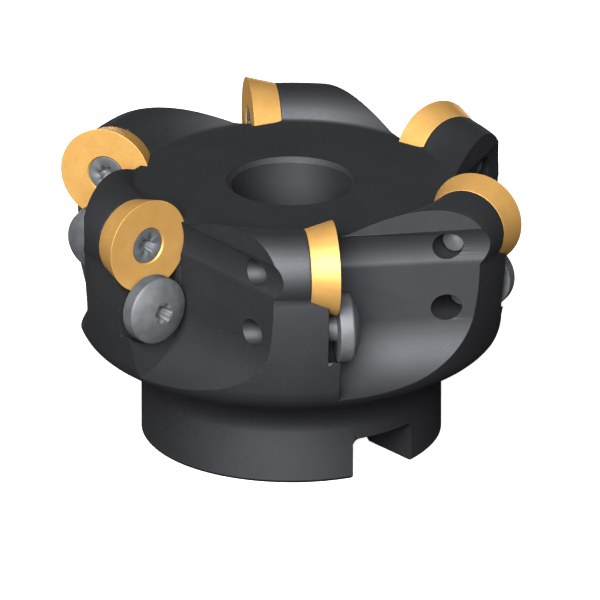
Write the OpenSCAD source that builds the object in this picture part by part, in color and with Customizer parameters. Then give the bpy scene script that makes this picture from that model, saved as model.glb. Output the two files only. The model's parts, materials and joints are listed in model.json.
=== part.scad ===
// Shell-type face mill with round inserts, right-hand cut.
// Origin: centre of the hub's back face, on the cutting axis.
// +Z points out of the cutting face and +X runs along the drive slot.

/* [Cutter] */
// Radius of the circle that the insert centres lie on
insert_circle_r = 32.45; // [32:0.05:32.6]
// Height of the insert centres above the back face
insert_z = 41.6; // [41.4:0.1:42]
// Angle of the first tooth from the drive slot
first_tooth_angle = -26; // [-30:0.1:-20]
// Angle that the rake faces turn outward
rake_tilt = 4.6; // [3:0.1:6]

/* [Body] */
// Radius of the hub
hub_r = 25; // [24.5:0.1:25.5]
// Height of the sloping underside, measured a little way out from the hub
underside_z = 15.9; // [15.7:0.1:16.4]
// Distance out from the hub at which that height is measured
underside_run = 6; // [5.5:0.1:6.5]
// Slope of the underside
underside_angle = 30; // [25:1:35]
// Largest radius of the flange's outer wall
wall_r = 38.2; // [38:0.1:38.5]
// Height at which the outer wall is widest
wall_middle_z = 38.8; // [38:0.1:40]
// Radius of the wall's barrel curve, seen in section
wall_curve_r = 65; // [55:1:80]
// Rounding between the outer wall and the underside
wall_corner_r = 6.5; // [5:0.1:7]
// Concave rounding between the underside and the hub
hub_fillet_r = 5.6; // [5:0.1:6]
// Height of the flat front face
face_z = 44.4; // [44:0.1:44.8]
// Radius of the bead's round section, whose middle is in line with the insert centres
bead_r = 6.7; // [6.5:0.05:6.75]
// Rounding where the bead rises from the front face
bead_fillet_r = 1; // [0.5:0.1:1.5]

/* [Arbor seat] */
// Diameter of the arbor bore
arbor_d = 27; // [26:0.5:27]
// Depth of the arbor bore
arbor_depth = 23; // [21:0.5:24]
// Diameter of the hole for the arbor screw
bolt_hole_d = 14; // [13.5:0.1:14.5]
// Diameter of the counterbore for the arbor screw's head
counterbore_d = 20; // [19:0.5:21]
// Height of the counterbore's floor
counterbore_z = 32; // [30:0.5:34]
// Width of the drive slot
slot_w = 12.4; // [11.5:0.1:12.6]
// Depth of the drive slot
slot_depth = 7; // [6:0.1:7.5]

/* [Gullets] */
// Distance of the gullet's flat floor from the cutting axis
gullet_floor = 25.9; // [25.7:0.1:26.1]
// Height of the gullet's foot
gullet_foot_z = 18.2; // [18:0.1:19]
// Radius of the curve from the floor to the foot
gullet_curve_r = 11; // [9:0.1:12]
// Diameter of the round channel that runs from an insert's seat along the gullet
channel_d = 14.2; // [13.6:0.1:14.6]
// How far the land in front of a tooth stands proud of the rake face
land_proud = 0.43; // [0.2:0.01:0.6]

/* [Inserts] */
// Diameter of a round insert
insert_d = 16; // [15.8:0.1:16.1]
// Thickness of an insert
insert_t = 4.76; // [4.5:0.02:5]
// Relief angle of an insert's flank
relief_angle = 15; // [11:1:15]
// Diameter of the hole through an insert
insert_hole_d = 5.2; // [5:0.1:5.3]
// Diameter of the countersink's mouth
sink_d = 6.5; // [6.3:0.1:6.8]

/* [Screws] */
// Thread diameter of both kinds of screw
screw_d = 4.4; // [4.3:0.02:4.44]
// Diameter of the tapped holes
tapped_d = 4.5; // [4.5:0.02:4.6]
// Depth of the insert screw's face below the rake face
screw_sunk = 0.2; // [0.1:0.05:0.3]
// Distance from the rake face to the tip of the insert screw
insert_screw_reach = 10.7; // [9:0.1:12]
// Drop from the insert's axis to the clamp screw's axis
clamp_drop = 10.85; // [10.7:0.05:11.2]
// Diameter of the clamp screw's head
clamp_head_d = 11.5; // [11:0.1:11.8]
// Height of the straight rim of the clamp screw's head
clamp_rim_h = 2.3; // [2:0.1:2.6]
// Height of the dome above that rim
clamp_dome_h = 1.85; // [1.6:0.05:2]
// Gap between the underside of that head and the rake face
clamp_lift = 0.3; // [0.2:0.05:0.4]
// Distance from the rake face to the tip of the clamp screw
clamp_screw_reach = 7.5; // [7:0.1:9]
// Width of the recess around the clamp screw
clamp_recess_w = 12.6; // [12.4:0.05:12.8]
// Depth of that recess below the rake face
clamp_recess_depth = 1.7; // [1.4:0.05:1.8]

/* [Hidden] */
$fn = 96;
teeth = 6;
pitch = 360 / teeth;
tooth_numbers = [1:teeth];

// Colours
body_colour = "#3a3c40";
insert_colour = "#e0a84f";
screw_colour = "#7c8084";

// Clearance round a part that turns in its seat, and how far a cut runs past a face or through everything
turn_gap = 0.05;
past = 1;
far = 60;

// The insert's centre in a tooth's own frame: out along X, forward along Y
insert_out = insert_circle_r * cos(rake_tilt);
insert_forward = insert_circle_r * sin(rake_tilt);

// The insert and its seat
insert_r = insert_d / 2;
insert_back_r = insert_r - insert_t * tan(relief_angle);
sink_half_angle = 30;
sink_depth = (sink_d - insert_hole_d) / 2 / tan(sink_half_angle);

// The insert screw's head is a cone that lies just inside the countersink
screw_r = screw_d / 2;
screw_head_r = sink_d / 2 - screw_sunk * tan(sink_half_angle) - turn_gap;
screw_head_h = (screw_head_r - screw_r) / tan(sink_half_angle);
screw_tip_chamfer = 0.4;
screw_socket_r = 1.45;
screw_socket_depth = 1.5;

// A six-lobed socket's core circle and lobe circles, as shares of its tip radius
core_share = 0.8;
lobe_share = 0.26;

// The clamp screw
clamp_head_r = clamp_head_d / 2;
clamp_socket_r = 1.7;
clamp_socket_depth = 2.2;
clamp_dome_r = (clamp_head_r * clamp_head_r + clamp_dome_h * clamp_dome_h) / (2 * clamp_dome_h);

// Tapped holes run from the seat out through the tooth's back
tapped_length = 24;

// The outer wall's section: a barrel arc, a corner arc tangent to it, then the underside's slope
barrel = [wall_r - wall_curve_r, wall_middle_z];
slope = [cos(underside_angle), sin(underside_angle)];
slope_up = [-slope.y, slope.x];
slope_start = [hub_r + underside_run, underside_z];
corner_base = slope_start + wall_corner_r * slope_up - barrel;
corner_along = corner_base * slope;
corner_shift = sqrt(pow(corner_along, 2) - corner_base * corner_base + pow(wall_curve_r - wall_corner_r, 2));
corner = barrel + corner_base + (corner_shift - corner_along) * slope;
corner_top = corner + wall_corner_r * (corner - barrel) / norm(corner - barrel);

// The concave rounding under the flange touches the hub and the slope
fillet_from_start = hub_fillet_r - underside_run;
hub_fillet = slope_start + [fillet_from_start, (fillet_from_start * slope.y - hub_fillet_r) / slope.x];

// The bead's section, and the fillet between it and the front face
bead = [insert_circle_r, insert_z];
bead_reach = bead_r + bead_fillet_r;
fillet_rise = face_z + bead_fillet_r - bead.y;
bead_fillet = [bead.x - sqrt(pow(bead_reach, 2) - pow(fillet_rise, 2)), face_z + bead_fillet_r];
bead_fillet_end = atan2(-fillet_rise, bead.x - bead_fillet.x);

// Small edges
hub_chamfer = 0.5;
bore_chamfer = 0.8;
slot_fillet_r = 1.2;
fillet_steps = 6;

// A tooth's own frame: X out, Y forward along the insert's axis, Z up
module tooth_frame(k) {
    rotate([0, 0, first_tooth_angle + (k - 1) * pitch - rake_tilt])
        children();
}

// The insert's axis: the rake face is at z = 0 and +Z comes out of it
module on_insert_axis(k) {
    tooth_frame(k)
        translate([insert_out, insert_forward, insert_z])
            rotate([-90, 0, 0])
                children();
}

// The clamp screw's axis, parallel to the insert's and below it
module on_clamp_axis(k) {
    tooth_frame(k)
        translate([insert_out, insert_forward, insert_z - clamp_drop])
            rotate([-90, 0, 0])
                children();
}

// A six-lobed socket outline of the given tip radius
module six_lobes(r) {
    lobe_r = lobe_share * r;
    circle(r = core_share * r);
    for (a = [0:60:300])
        rotate(a)
            translate([r - lobe_r, 0])
                circle(r = lobe_r);
}

module hub_section() {
    polygon([
        [0, 0],
        [hub_r - hub_chamfer, 0],
        [hub_r, hub_chamfer],
        [hub_r, face_z - past],
        [0, face_z - past]
    ]);
    difference() {
        polygon([
            [0, hub_fillet.y],
            hub_fillet,
            hub_fillet + hub_fillet_r * slope_up,
            corner - wall_corner_r * slope_up,
            corner,
            [0, corner.y]
        ]);
        translate(hub_fillet)
            circle(r = hub_fillet_r);
    }
}

module flange_section() {
    translate(corner)
        circle(r = wall_corner_r);
    intersection() {
        translate(barrel)
            circle(r = wall_curve_r, $fn = 360);
        translate([0, corner_top.y])
            square([wall_r, bead.y - corner_top.y]);
    }
    translate([0, corner_top.y])
        square([bead.x, face_z - corner_top.y]);
}

module bead_section() {
    translate(bead)
        circle(r = bead_r);
    polygon(concat(
        [[bead_fillet.x, face_z - past], bead],
        [for (i = [fillet_steps:-1:0])
            let (a = -90 + (bead_fillet_end + 90) * i / fillet_steps)
            bead_fillet + bead_fillet_r * [cos(a), sin(a)]]
    ));
}

module solid_of_revolution() {
    rotate_extrude($fn = 180) {
        hub_section();
        flange_section();
        bead_section();
    }
}

module arbor_seat() {
    translate([0, 0, -past])
        cylinder(d = arbor_d, h = arbor_depth + past);
    translate([0, 0, -bore_chamfer])
        cylinder(d1 = arbor_d + 4 * bore_chamfer, d2 = arbor_d, h = 2 * bore_chamfer);
    cylinder(d = bolt_hole_d, h = face_z);
    translate([0, 0, counterbore_z])
        cylinder(d = counterbore_d, h = far);
    translate([0, 0, face_z - bore_chamfer])
        cylinder(d1 = counterbore_d, d2 = counterbore_d + 4 * bore_chamfer, h = 2 * bore_chamfer);
}

module drive_slot() {
    straight = slot_w / 2 - slot_fillet_r;
    rotate([90, 0, 90])
        linear_extrude(2 * far, center = true) {
            translate([-slot_w / 2, -past])
                square([slot_w, slot_depth - slot_fillet_r + past]);
            translate([-straight, -past])
                square([2 * straight, slot_depth + past]);
            for (side = [-1, 1])
                translate([side * straight, slot_depth - slot_fillet_r])
                    circle(r = slot_fillet_r);
        }
}

// The chip space in front of a tooth: an upright floor that curves out to a level foot
module gullet() {
    translate([0, insert_forward + land_proud, 0])
        rotate([90, 0, 0])
            translate([0, 0, -far])
                linear_extrude(far) {
                    translate([gullet_floor, gullet_foot_z + gullet_curve_r])
                        square(far);
                    translate([gullet_floor + gullet_curve_r, gullet_foot_z])
                        square(far);
                    translate([gullet_floor + gullet_curve_r, gullet_foot_z + gullet_curve_r])
                        circle(r = gullet_curve_r);
                }
}

// The insert's seat, a relieved cone, and the round channel that leads out of it
module insert_pocket() {
    translate([0, 0, -insert_t - turn_gap])
        cylinder(r1 = insert_back_r + turn_gap, r2 = insert_r + turn_gap, h = insert_t + turn_gap);
    cylinder(r = insert_r + turn_gap, h = land_proud);
    cylinder(d = channel_d, h = far);
}

module tapped_hole() {
    translate([0, 0, -tapped_length])
        cylinder(d = tapped_d, h = tapped_length);
}

// The recess is round below the clamp screw and open upward to the insert's seat
module clamp_recess() {
    translate([0, 0, -clamp_recess_depth])
        linear_extrude(clamp_recess_depth + land_proud + past) {
            circle(d = clamp_recess_w);
            translate([-clamp_recess_w / 2, -clamp_drop])
                square([clamp_recess_w, clamp_drop]);
        }
}

module cutter_body() {
    color(body_colour)
        difference() {
            solid_of_revolution();
            arbor_seat();
            drive_slot();
            for (k = tooth_numbers) {
                tooth_frame(k) gullet();
                on_insert_axis(k) {
                    insert_pocket();
                    tapped_hole();
                }
                on_clamp_axis(k) {
                    clamp_recess();
                    tapped_hole();
                }
            }
        }
}

module insert(k) {
    color(insert_colour)
        on_insert_axis(k)
            rotate_extrude()
                polygon([
                    [insert_hole_d / 2, -insert_t],
                    [insert_back_r, -insert_t],
                    [insert_r, 0],
                    [sink_d / 2, 0],
                    [insert_hole_d / 2, -sink_depth]
                ]);
}

module insert_screw(k) {
    color(screw_colour)
        on_insert_axis(k)
            difference() {
                rotate_extrude()
                    polygon([
                        [0, -screw_sunk],
                        [screw_head_r, -screw_sunk],
                        [screw_r, -screw_sunk - screw_head_h],
                        [screw_r, screw_tip_chamfer - insert_screw_reach],
                        [screw_r - screw_tip_chamfer, -insert_screw_reach],
                        [0, -insert_screw_reach]
                    ]);
                translate([0, 0, -screw_sunk - screw_socket_depth])
                    linear_extrude(screw_socket_depth + past)
                        six_lobes(screw_socket_r);
            }
}

module clamp_screw(k) {
    head_top = clamp_lift + clamp_rim_h + clamp_dome_h;
    color(screw_colour)
        on_clamp_axis(k)
            difference() {
                rotate_extrude()
                    intersection() {
                        polygon([
                            [0, head_top],
                            [clamp_head_r, head_top],
                            [clamp_head_r, clamp_lift],
                            [screw_r, clamp_lift],
                            [screw_r, screw_tip_chamfer - clamp_screw_reach],
                            [screw_r - screw_tip_chamfer, -clamp_screw_reach],
                            [0, -clamp_screw_reach]
                        ]);
                        translate([0, head_top - clamp_dome_r])
                            circle(r = clamp_dome_r);
                    }
                translate([0, 0, head_top - clamp_socket_depth])
                    linear_extrude(clamp_socket_depth + past)
                        six_lobes(clamp_socket_r);
            }
}

cutter_body();
for (k = tooth_numbers) {
    insert(k);
    insert_screw(k);
    clamp_screw(k);
}
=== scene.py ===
import json
from math import cos, hypot, pi, radians, sin, tan

import bmesh
import bpy
from mathutils import Matrix, Vector


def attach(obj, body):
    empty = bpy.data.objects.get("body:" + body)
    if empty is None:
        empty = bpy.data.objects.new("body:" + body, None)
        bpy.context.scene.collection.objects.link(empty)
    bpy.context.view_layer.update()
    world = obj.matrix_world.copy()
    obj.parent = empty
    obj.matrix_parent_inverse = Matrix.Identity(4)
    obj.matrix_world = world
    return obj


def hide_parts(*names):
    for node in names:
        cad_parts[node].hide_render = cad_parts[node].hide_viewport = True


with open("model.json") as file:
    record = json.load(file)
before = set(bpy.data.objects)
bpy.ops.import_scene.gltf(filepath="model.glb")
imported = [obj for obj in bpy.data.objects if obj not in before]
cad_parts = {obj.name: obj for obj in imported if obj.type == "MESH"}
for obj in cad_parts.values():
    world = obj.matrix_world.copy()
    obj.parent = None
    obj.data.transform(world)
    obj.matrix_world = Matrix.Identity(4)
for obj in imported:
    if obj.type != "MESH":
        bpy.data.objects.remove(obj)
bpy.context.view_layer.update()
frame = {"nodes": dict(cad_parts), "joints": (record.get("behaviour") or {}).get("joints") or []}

# The frame is in metres. Sizes of the detail below are in millimetres, times MM.
MM = 0.001
TEETH = range(1, 7)
UP = Vector((0, 0, 1))
joints = {joint["name"]: joint for joint in frame["joints"]}


# ---------------------------------------------------------------- places and sizes from the frame

SAME = 0.01     # millimetres within which two CAD points count as level or equally far out


def joint_frame(name):
    """The place of a joint's own frame: X points out, Y down and Z along its axis, out of the rake face."""
    forward = Vector(joints[name]["axis"])
    out = forward.cross(UP)
    turn = Matrix((out, -UP, forward)).transposed()
    return Matrix.Translation(joints[name]["pos_m"]) @ turn.to_4x4()


def section_of(node, place):
    """(distance from the axis, height along it) of a CAD node's points in a joint's frame, in millimetres."""
    into = place.inverted()
    points = [into @ vertex.co for vertex in frame["nodes"][node].data.vertices]
    return [(hypot(p.x, p.y) / MM, p.z / MM) for p in points]


def ring_radii(section, height):
    """Smallest and largest distance from the axis among a section's points at a height."""
    radii = [r for r, h in section if abs(h - height) < SAME]
    return min(radii), max(radii)


def heights_at(section, radius):
    """The heights of a section's points at a distance from the axis."""
    return [h for r, h in section if abs(r - radius) < SAME]


def ends(section):
    """Lowest and highest point of a section."""
    heights = [h for _, h in section]
    return min(heights), max(heights)


# ---------------------------------------------------------------- turned meshes

ROUNDING_STEPS = 4


def rounded(corners):
    """The points of a closed outline. Each corner is (x, y, radius of its rounding)."""
    points = []
    for i, (x, y, radius) in enumerate(corners):
        corner = Vector((x, y))
        if radius == 0:
            points.append(corner)
            continue
        before = (Vector(corners[i - 1][:2]) - corner).normalized()
        after = (Vector(corners[(i + 1) % len(corners)][:2]) - corner).normalized()
        half = before.angle(after) / 2
        centre = corner + (before + after).normalized() * radius / sin(half)
        first = corner + before * radius / tan(half) - centre
        last = corner + after * radius / tan(half) - centre
        for step in range(ROUNDING_STEPS + 1):
            points.append(centre + first.lerp(last, step / ROUNDING_STEPS).normalized() * radius)
    return points


def turned_mesh(name, rings, around, loop):
    """A mesh of rings round the Z axis. A ring is (radius or function of the angle, height), in millimetres.

    With loop the last ring joins the first. Without it both ends close at a point on the axis.
    """
    bm = bmesh.new()
    made = []
    for radius, height in rings:
        ring = []
        for i in range(around):
            angle = 2 * pi * i / around
            r = radius(angle) if callable(radius) else radius
            ring.append(bm.verts.new((r * cos(angle) * MM, r * sin(angle) * MM, height * MM)))
        made.append(ring)
    pairs = list(zip(made, made[1:]))
    if loop:
        pairs.append((made[-1], made[0]))
    for low, high in pairs:
        for i in range(around):
            j = (i + 1) % around
            bm.faces.new((low[i], low[j], high[j], high[i]))
    if not loop:
        for ring, (_, height) in ((made[0], rings[0]), (made[-1], rings[-1])):
            tip = bm.verts.new((0, 0, height * MM))
            for i in range(around):
                bm.faces.new((tip, ring[i], ring[(i + 1) % around]))
    bmesh.ops.recalc_face_normals(bm, faces=bm.faces)
    return finished(bm, name)


def finished(bm, name):
    """Turns an edited mesh into a mesh of the scene, and frees it."""
    mesh = bpy.data.meshes.new(name)
    bm.to_mesh(mesh)
    bm.free()
    return mesh


def add_object(name, data):
    thing = bpy.data.objects.new(name, data)
    bpy.context.scene.collection.objects.link(thing)
    return thing


def add_piece(name, mesh, place, body, node, materials):
    """Puts a mesh in the scene as a piece that rides on a body and stands for a CAD node."""
    mesh.shade_smooth()
    for material in materials:
        mesh.materials.append(material)
    piece = add_object(name, mesh)
    piece.matrix_world = place
    weighted = piece.modifiers.new("Flat faces stay flat", "WEIGHTED_NORMAL")
    weighted.keep_sharp = True
    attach(piece, body)
    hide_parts(node)
    return piece


# ---------------------------------------------------------------- materials

FEED_MAP = "feed"               # a UV map in metres, along and across the milling cuts
NOISE_RANGE = (0.3, 0.7)        # where the values of a noise mostly lie
DULL_RIM = (0.2, 0.2, 0.2, 1)   # keeps a dark metal dark where it is seen edge on


class Graph:
    """A material's nodes, made and linked in short calls."""

    def __init__(self, name):
        self.material = bpy.data.materials.new(name)
        self.material.use_nodes = True
        self.nodes = self.material.node_tree.nodes
        self.links = self.material.node_tree.links
        self.shader = self.nodes["Principled BSDF"]

    def feed(self, node, **sockets):
        """Gives each named input a value, or the output that feeds it. _0 is the first input, Base_Color by name."""
        for key, value in sockets.items():
            socket = node.inputs[int(key[1:])] if key[0] == "_" else node.inputs[key.replace("_", " ")]
            if isinstance(value, bpy.types.NodeSocket):
                self.links.new(value, socket)
            else:
                socket.default_value = value

    def node(self, kind, settings=None, **sockets):
        made = self.nodes.new("ShaderNode" + kind)
        for key, value in (settings or {}).items():
            setattr(made, key, value)
        self.feed(made, **sockets)
        return made

    def place(self):
        """The point on the piece, in its own frame."""
        return self.node("TexCoord").outputs["Object"]

    def noise(self, vector, size, detail=2.0, roughness=0.5):
        """A noise whose features are about the given size, in millimetres."""
        made = self.node("TexNoise", Vector=vector, Scale=1 / (size * MM), Detail=detail, Roughness=roughness)
        return made.outputs["Fac"]

    def math(self, operation, first, second=0.0):
        return self.node("Math", {"operation": operation}, _0=first, _1=second).outputs[0]

    def spread(self, noise, low, high):
        """Maps a noise onto low to high."""
        least, most = NOISE_RANGE
        return self.node("MapRange", _0=noise, _1=least, _2=most, _3=low, _4=high).outputs[0]

    def colours(self, noise, dark, light):
        """Maps a noise onto colours from dark to light."""
        ramp = self.node("ValToRGB", Fac=noise)
        for stop, position, colour in zip(ramp.color_ramp.elements, NOISE_RANGE, (dark, light)):
            stop.position = position
            stop.color = (*colour, 1)
        return ramp.outputs["Color"]

    def turned_lines(self, vector, size):
        """Fine rings round the Z axis, as a lathe or a cylindrical grinder leaves them."""
        parts = self.node("SeparateXYZ", _0=vector)
        x, y, z = parts.outputs
        radius = self.math("SQRT", self.math("ADD", self.math("MULTIPLY", x, x), self.math("MULTIPLY", y, y)))
        section = self.node("CombineXYZ", _0=radius, _1=z)
        return self.noise(section.outputs[0], size, detail=3.0, roughness=0.6)

    def bump(self, height, distance):
        """Raises the surface where height is 1 by a distance in millimetres."""
        made = self.node("Bump", Height=height, Distance=distance * MM, Strength=1.0)
        self.links.new(made.outputs["Normal"], self.shader.inputs["Normal"])


def black_oxide(name, lines_size, milled=False):
    """Satin black oxide over fine tool marks. Milled faces take their lines from the feed map."""
    graph = Graph(name)
    place = graph.place()
    if milled:
        feed = graph.node("UVMap", {"uv_map": FEED_MAP}).outputs["UV"]
        lines = graph.noise(feed, lines_size, detail=3.0, roughness=0.6)
    else:
        lines = graph.turned_lines(place, lines_size)
    grain = graph.noise(place, 0.35, detail=5.0, roughness=0.7)
    clouds = graph.noise(place, 9.0, detail=3.0)
    mixed = graph.math("ADD", graph.math("MULTIPLY", clouds, 0.6), graph.math("MULTIPLY", grain, 0.4))
    graph.feed(
        graph.shader,
        Base_Color=graph.colours(mixed, (0.072, 0.074, 0.080), (0.086, 0.088, 0.095)),
        Roughness=graph.spread(grain, 0.62, 0.70),
        Specular_Tint=DULL_RIM,
        Metallic=1.0,
    )
    graph.bump(graph.math("ADD", lines, graph.math("MULTIPLY", grain, 0.5)), 0.006)
    return graph.material


def oxide_edge_painted_shade():
    """The narrow edge breaks: black oxide painted darker than the faces beside them, a painted shade that keeps the
    light they catch from showing, and a little uneven.
    """
    graph = Graph("oxide_edge_painted_shade")
    place = graph.place()
    unevenness = graph.noise(place, 2.5, detail=6.0, roughness=0.7)
    graph.feed(
        graph.shader,
        # Painted shade: the edge breaks are coloured darker than the oxide faces, so the light on them doesn't show
        # as a highlight
        Base_Color=graph.colours(unevenness, (0.045, 0.046, 0.050), (0.068, 0.070, 0.075)),
        Roughness=graph.spread(unevenness, 0.66, 0.60),
        Specular_Tint=DULL_RIM,
        Metallic=1.0,
    )
    graph.bump(graph.noise(place, 0.4, detail=4.0), 0.004)
    return graph.material


def gold_coating():
    """Titanium nitride on ground carbide, with the grinding lines showing through."""
    graph = Graph("gold_coating")
    place = graph.place()
    lines = graph.turned_lines(place, 0.06)
    tint = graph.noise(place, 3.0, detail=4.0)
    graph.feed(
        graph.shader,
        Base_Color=graph.colours(tint, (0.616, 0.342, 0.0966), (0.681, 0.388, 0.117)),
        Roughness=graph.spread(graph.noise(place, 0.5, detail=5.0), 0.50, 0.58),
        Specular_Tint=(0.5, 0.35, 0.15, 1),
        Metallic=0.6,
    )
    graph.bump(lines, 0.0015)
    return graph.material


def plain_steel():
    """Turned, tempered screw steel."""
    graph = Graph("plain_steel")
    place = graph.place()
    lines = graph.turned_lines(place, 0.08)
    tint = graph.noise(place, 1.6, detail=5.0)
    graph.feed(
        graph.shader,
        Base_Color=graph.colours(tint, (0.118, 0.124, 0.131), (0.151, 0.159, 0.167)),
        Roughness=graph.spread(tint, 0.58, 0.68),
        Metallic=0.6,
    )
    graph.bump(lines, 0.003)
    return graph.material


# ---------------------------------------------------------------- the cutter body

# The body's materials, by index
TURNED, MILLED, EDGE = range(3)
TURNED_LINES = 0.22
MILLED_LINES = 0.45

WELD = 0.001 * MM               # points closer than this are one
SLIVER = 0.08 * MM              # edges shorter than this are dissolved
FLAT = radians(0.3)             # faces that meet at less than this become one
FACES_SIDEWAYS = 0.03           # share of a normal that points round the axis on a milled face
SHARP = radians(28)             # edges sharper than this are broken
EDGE_BREAK = 0.09 * MM
SMOOTH_UNDER = radians(30)


def mark_faces(bm):
    """Marks each face as turned or milled, and lays the feed map on it."""
    feed = bm.loops.layers.uv.new(FEED_MAP)
    forwards = [joint_frame(f"insert_{k}_index").col[2].xyz for k in TEETH]
    for face in bm.faces:
        centre = face.calc_center_median()
        sideways = UP.cross(Vector((centre.x, centre.y, 0))).normalized()
        face.material_index = MILLED if abs(face.normal.dot(sideways)) > FACES_SIDEWAYS else TURNED
        # The face is fed along the tooth direction that lies best in its plane
        out = min(forwards, key=lambda forward: abs(forward.dot(face.normal))).cross(UP)
        for corner in face.loops:
            corner[feed].uv = (out.dot(corner.vert.co), corner.vert.co.z)


def machined_body():
    """The CAD body with its edges broken, and each face marked as turned, milled or an edge break."""
    bm = bmesh.new()
    bm.from_mesh(frame["nodes"]["cutter_body"].data)
    bmesh.ops.remove_doubles(bm, verts=bm.verts, dist=WELD)
    bmesh.ops.dissolve_degenerate(bm, dist=SLIVER, edges=bm.edges)
    bmesh.ops.dissolve_limit(bm, angle_limit=FLAT, verts=bm.verts, edges=bm.edges)
    mark_faces(bm)
    bmesh.ops.bevel(
        bm, geom=[e for e in bm.edges if e.calc_face_angle(0) > SHARP and e.is_convex],
        offset=EDGE_BREAK, offset_type="OFFSET", segments=2, profile=0.5,
        affect="EDGES", clamp_overlap=False, material=EDGE, loop_slide=True,
    )
    mesh = finished(bm, "machined_body")
    mesh.set_sharp_from_angle(angle=SMOOTH_UNDER)
    return mesh


add_piece(
    "cutter_body_machined", machined_body(), Matrix.Identity(4), "cutter", "cutter_body",
    [
        black_oxide("black_oxide_turned", TURNED_LINES),
        black_oxide("black_oxide_milled", MILLED_LINES, milled=True),
        oxide_edge_painted_shade(),
    ],
)


# ---------------------------------------------------------------- inserts

INSERT_AROUND = 144
RAKE_LAND = 0.18        # width of the narrow land behind the cutting edge
RAKE_DROP = 0.015       # how far the edge lies below the rake face

# Roundings of the insert's corners
BACK_HOLE_ROUND = 0.15
BACK_RIM_ROUND = 0.06
CUTTING_EDGE_ROUND = 0.04
LAND_ROUND = 0.3
SINK_MOUTH_ROUND = 0.05
SINK_FOOT_ROUND = 0.4


def insert_mesh(section):
    """A ground round insert with a honed cutting edge and a rounded countersink."""
    back, _ = ends(section)
    hole, back_r = ring_radii(section, back)
    sink, edge = ring_radii(section, 0)
    outline = rounded([
        (hole, back, BACK_HOLE_ROUND),
        (back_r, back, BACK_RIM_ROUND),
        (edge, -RAKE_DROP, CUTTING_EDGE_ROUND),
        (edge - RAKE_LAND, 0, LAND_ROUND),
        (sink, 0, SINK_MOUTH_ROUND),
        (hole, max(heights_at(section, hole)), SINK_FOOT_ROUND),
    ])
    return turned_mesh("insert", outline, INSERT_AROUND, loop=True)


# ---------------------------------------------------------------- screws

SCREW_AROUND = 72

THREAD_PITCH = 0.75
THREAD_DEPTH = 0.4
THREAD_CREST = 0.12     # the flat crest and the sloping flank, as shares of half a pitch
THREAD_FLANK = 0.7
RINGS_A_PITCH = 10

LOBES = 6
LOBE_ROOT = 0.72        # radius between the lobes, as a share of the radius at their tips
SOCKET_MOUTH = 0.12     # chamfer of a socket's mouth
SOCKET_CONE = 0.35      # height of its coned floor
SOCKET_FLOOR = 0.5      # radius of the floor, as a share of the socket's

INSERT_SCREW_RIM_ROUND = 0.1
INSERT_SCREW_NECK = 0.3         # plain shank between the thread and the head
INSERT_SCREW_SOCKET = 1.45      # radius and depth of its socket
INSERT_SCREW_SOCKET_DEPTH = 1.5

CLAMP_NECK = 2.2
CLAMP_FILLET = 0.15             # where the shank meets the head
CLAMP_EDGE = 0.2                # rounding of the head's edges, and how far its middle lies inside the corner
CLAMP_EDGE_MIDDLE = 0.06
CLAMP_RIM_MIDDLE = 0.03
CLAMP_DOME_INSET = 0.12         # the dome starts this far inside the rim
CLAMP_DOME_STEPS = 16
CLAMP_SOCKET_OPENING = 1.95     # the dome ends at this radius
CLAMP_SOCKET = 1.7
CLAMP_SOCKET_DEPTH = 2.2


def thread_rings(crest, tip, top):
    """Rings of a right-hand thread from the screw's chamfered tip up to its run-out at the top."""
    count = round((top - tip) / THREAD_PITCH * RINGS_A_PITCH)
    rings = []
    for i in range(count + 1):
        height = tip + (top - tip) * i / count
        run_out = min(1, (top - height) / THREAD_PITCH)
        chamfer = crest - THREAD_DEPTH + height - tip

        def radius(angle, height=height, run_out=run_out, chamfer=chamfer):
            turn = (height / THREAD_PITCH - angle / (2 * pi)) % 1
            flank = min(1, max(0, (abs(2 * turn - 1) - THREAD_CREST) / THREAD_FLANK))
            return min(crest - THREAD_DEPTH * run_out * flank, chamfer)

        rings.append((radius, height))
    return rings


def lobed(tip, grow=0.0):
    """The outline of a lobed socket, as a radius for each angle."""
    root = LOBE_ROOT * tip
    return lambda angle: (tip + root) / 2 + (tip - root) / 2 * cos(LOBES * angle) + grow


def socket_rings(tip, top, floor):
    """Rings of a lobed socket with a chamfered mouth and a coned floor."""
    return [
        (lobed(tip, SOCKET_MOUTH), top),
        (lobed(tip), top - SOCKET_MOUTH),
        (lobed(tip), floor + SOCKET_CONE),
        (lobed(tip * SOCKET_FLOOR), floor),
    ]


def insert_screw_mesh(section):
    """A countersunk screw that lies in the insert's countersink."""
    tip, top = ends(section)
    middle = (tip + top) / 2
    _, head_r = ring_radii(section, top)
    shank_r = max(r for r, h in section if tip < h < middle)
    head_low = min(h for h in heights_at(section, shank_r) if h > middle)
    head = rounded([(shank_r, head_low, 0), (head_r, top, INSERT_SCREW_RIM_ROUND), (0, top, 0)])[:-1]
    rings = thread_rings(shank_r, tip, head_low - INSERT_SCREW_NECK)
    rings += [tuple(point) for point in head]
    rings += socket_rings(INSERT_SCREW_SOCKET, top, top - INSERT_SCREW_SOCKET_DEPTH)
    return turned_mesh("insert_screw", rings, SCREW_AROUND, loop=False)


def dome_rings(head_r, top, height):
    """Rings of a spherical dome over a head, from its rim in to the socket."""
    sphere_r = (head_r ** 2 + height ** 2) / (2 * height)
    start = head_r - CLAMP_DOME_INSET
    rings = []
    for i in range(CLAMP_DOME_STEPS + 1):
        r = start + (CLAMP_SOCKET_OPENING - start) * i / CLAMP_DOME_STEPS
        rings.append((r, top - sphere_r + (sphere_r ** 2 - r ** 2) ** 0.5))
    return rings


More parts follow.
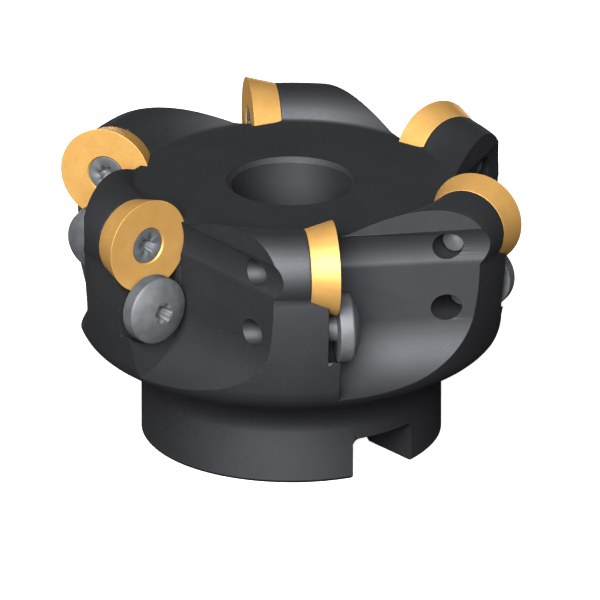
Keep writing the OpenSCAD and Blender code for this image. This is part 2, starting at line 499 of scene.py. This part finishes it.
def clamp_screw_mesh(section):
    """A dome-headed screw that stands below the insert."""
    tip, top = ends(section)
    shank_r = max(r for r, h in section if tip < h < tip / 2)
    head_r = max(r for r, _ in section)
    under = min(heights_at(section, head_r))
    rim = max(heights_at(section, head_r))
    rings = thread_rings(shank_r, tip, under - CLAMP_NECK)
    rings += [
        (shank_r, under - CLAMP_FILLET),
        (shank_r + CLAMP_FILLET, under),
        (head_r - CLAMP_EDGE, under),
        (head_r - CLAMP_EDGE_MIDDLE, under + CLAMP_EDGE_MIDDLE),
        (head_r, under + CLAMP_EDGE),
        (head_r, rim - CLAMP_EDGE),
        (head_r - CLAMP_RIM_MIDDLE, rim - CLAMP_EDGE_MIDDLE),
    ]
    rings += dome_rings(head_r, top, top - rim)
    _, face = rings[-1]
    rings += socket_rings(CLAMP_SOCKET, face, top - CLAMP_SOCKET_DEPTH)
    return turned_mesh("clamp_screw", rings, SCREW_AROUND, loop=False)


def add_screw(node, place, make_mesh, material):
    mesh = make_mesh(section_of(node, place))
    add_piece(f"{node}_threaded", mesh, place, node, node, [material])


gold = gold_coating()
steel = plain_steel()
for k in TEETH:
    place = joint_frame(f"insert_{k}_index")
    mesh = insert_mesh(section_of(f"insert_{k}", place))
    coated = add_piece(f"insert_{k}_coated", mesh, place, f"insert_{k}", f"insert_{k}", [gold])
    # The inserts throw no gold light on the steel around them, which stays a neutral grey
    coated.visible_glossy = False
    coated.visible_diffuse = False
    add_screw(f"insert_screw_{k}", place, insert_screw_mesh, steel)
    add_screw(f"clamp_screw_{k}", joint_frame(f"clamp_screw_{k}_turn"), clamp_screw_mesh, steel)


# ---------------------------------------------------------------- floor, light and camera

FLOOR_HALF_WIDTH = 6.0
FLOOR_GLOW = 0.9

VIEW_AZIMUTH = 51.2
VIEW_ELEVATION = 22.2
VIEW_CENTRE_HEIGHT = 22.9 * MM
VIEW_CENTRE_RIGHT = 1.45 * MM
FRAME_WIDTH = 100 * MM
CAMERA_DISTANCE = 1.0
CAMERA_REACH = 20.0

WHITE = (1, 1, 1, 1)
WORLD_STRENGTH = 0.05


def add_floor():
    """A wide sheet of pale paper under the tool."""
    half = FLOOR_HALF_WIDTH
    mesh = bpy.data.meshes.new("floor")
    mesh.from_pydata([(-half, -half, 0), (half, -half, 0), (half, half, 0), (-half, half, 0)], [], [(0, 1, 2, 3)])
    floor = add_object("floor", mesh)
    graph = Graph("floor_paper")
    tint = graph.noise(graph.place(), 40.0)
    graph.feed(
        graph.shader,
        Base_Color=graph.colours(tint, (0.90, 0.90, 0.90), (0.92, 0.92, 0.92)),
        Roughness=0.9,
        Specular_IOR_Level=0.0,
        Emission_Color=WHITE,
        Emission_Strength=FLOOR_GLOW,
    )
    mesh.materials.append(graph.material)
    # The glow keeps the paper pale, and the dark metal doesn't mirror it
    floor.visible_glossy = False
    floor.visible_diffuse = False


def direction(azimuth, elevation):
    """The unit vector towards a place on the sky: azimuth 0 is along -Y and 90 along +X."""
    a = radians(azimuth)
    e = radians(elevation)
    return Vector((sin(a) * cos(e), -cos(a) * cos(e), sin(e)))


def aim(thing, centre, back, distance):
    """Stands a camera or a light at a distance from a centre, and turns it to face that centre."""
    thing.location = centre + back * distance
    thing.rotation_mode = "QUATERNION"
    thing.rotation_quaternion = (-back).to_track_quat("-Z", "Y")


def add_camera():
    camera = add_object("camera", bpy.data.cameras.new("camera"))
    camera.data.type = "ORTHO"
    camera.data.ortho_scale = FRAME_WIDTH
    camera.data.clip_end = CAMERA_REACH
    right = direction(VIEW_AZIMUTH + 90, 0)
    aim(camera, UP * VIEW_CENTRE_HEIGHT + right * VIEW_CENTRE_RIGHT,
        direction(VIEW_AZIMUTH, VIEW_ELEVATION), CAMERA_DISTANCE)
    bpy.context.scene.camera = camera


def add_light(name, shape, size, watts, height, back, distance):
    """An area light that faces a point on the tool's axis."""
    light = add_object(name, bpy.data.lights.new(name, "AREA"))
    light.data.shape = shape
    light.data.size, light.data.size_y = size
    light.data.energy = watts
    aim(light, UP * height, back, distance)
    return light


def add_lights():
    """A big lamp over the viewer's left shoulder, and a low strip behind the tool.

    The strip lies below the front face, so it lights the backs of the teeth and leaves no glare on that face.
    """
    add_light(
        "key", "DISK", (0.9, 0.9), watts=47, height=25 * MM,
        back=direction(VIEW_AZIMUTH - 10, 32), distance=1.2,
    )
    strip = add_light(
        "back_strip", "RECTANGLE", (0.6, 36 * MM), watts=1.2, height=20 * MM,
        back=direction(VIEW_AZIMUTH + 180, 0), distance=0.4,
    )
    strip.visible_camera = False


def add_world():
    world = bpy.data.worlds.new("studio")
    bpy.context.scene.world = world
    world.use_nodes = True
    background = world.node_tree.nodes["Background"]
    background.inputs["Color"].default_value = WHITE
    background.inputs["Strength"].default_value = WORLD_STRENGTH


add_floor()
add_lights()
add_world()
add_camera()
bpy.context.scene.view_settings.view_transform = "Standard"
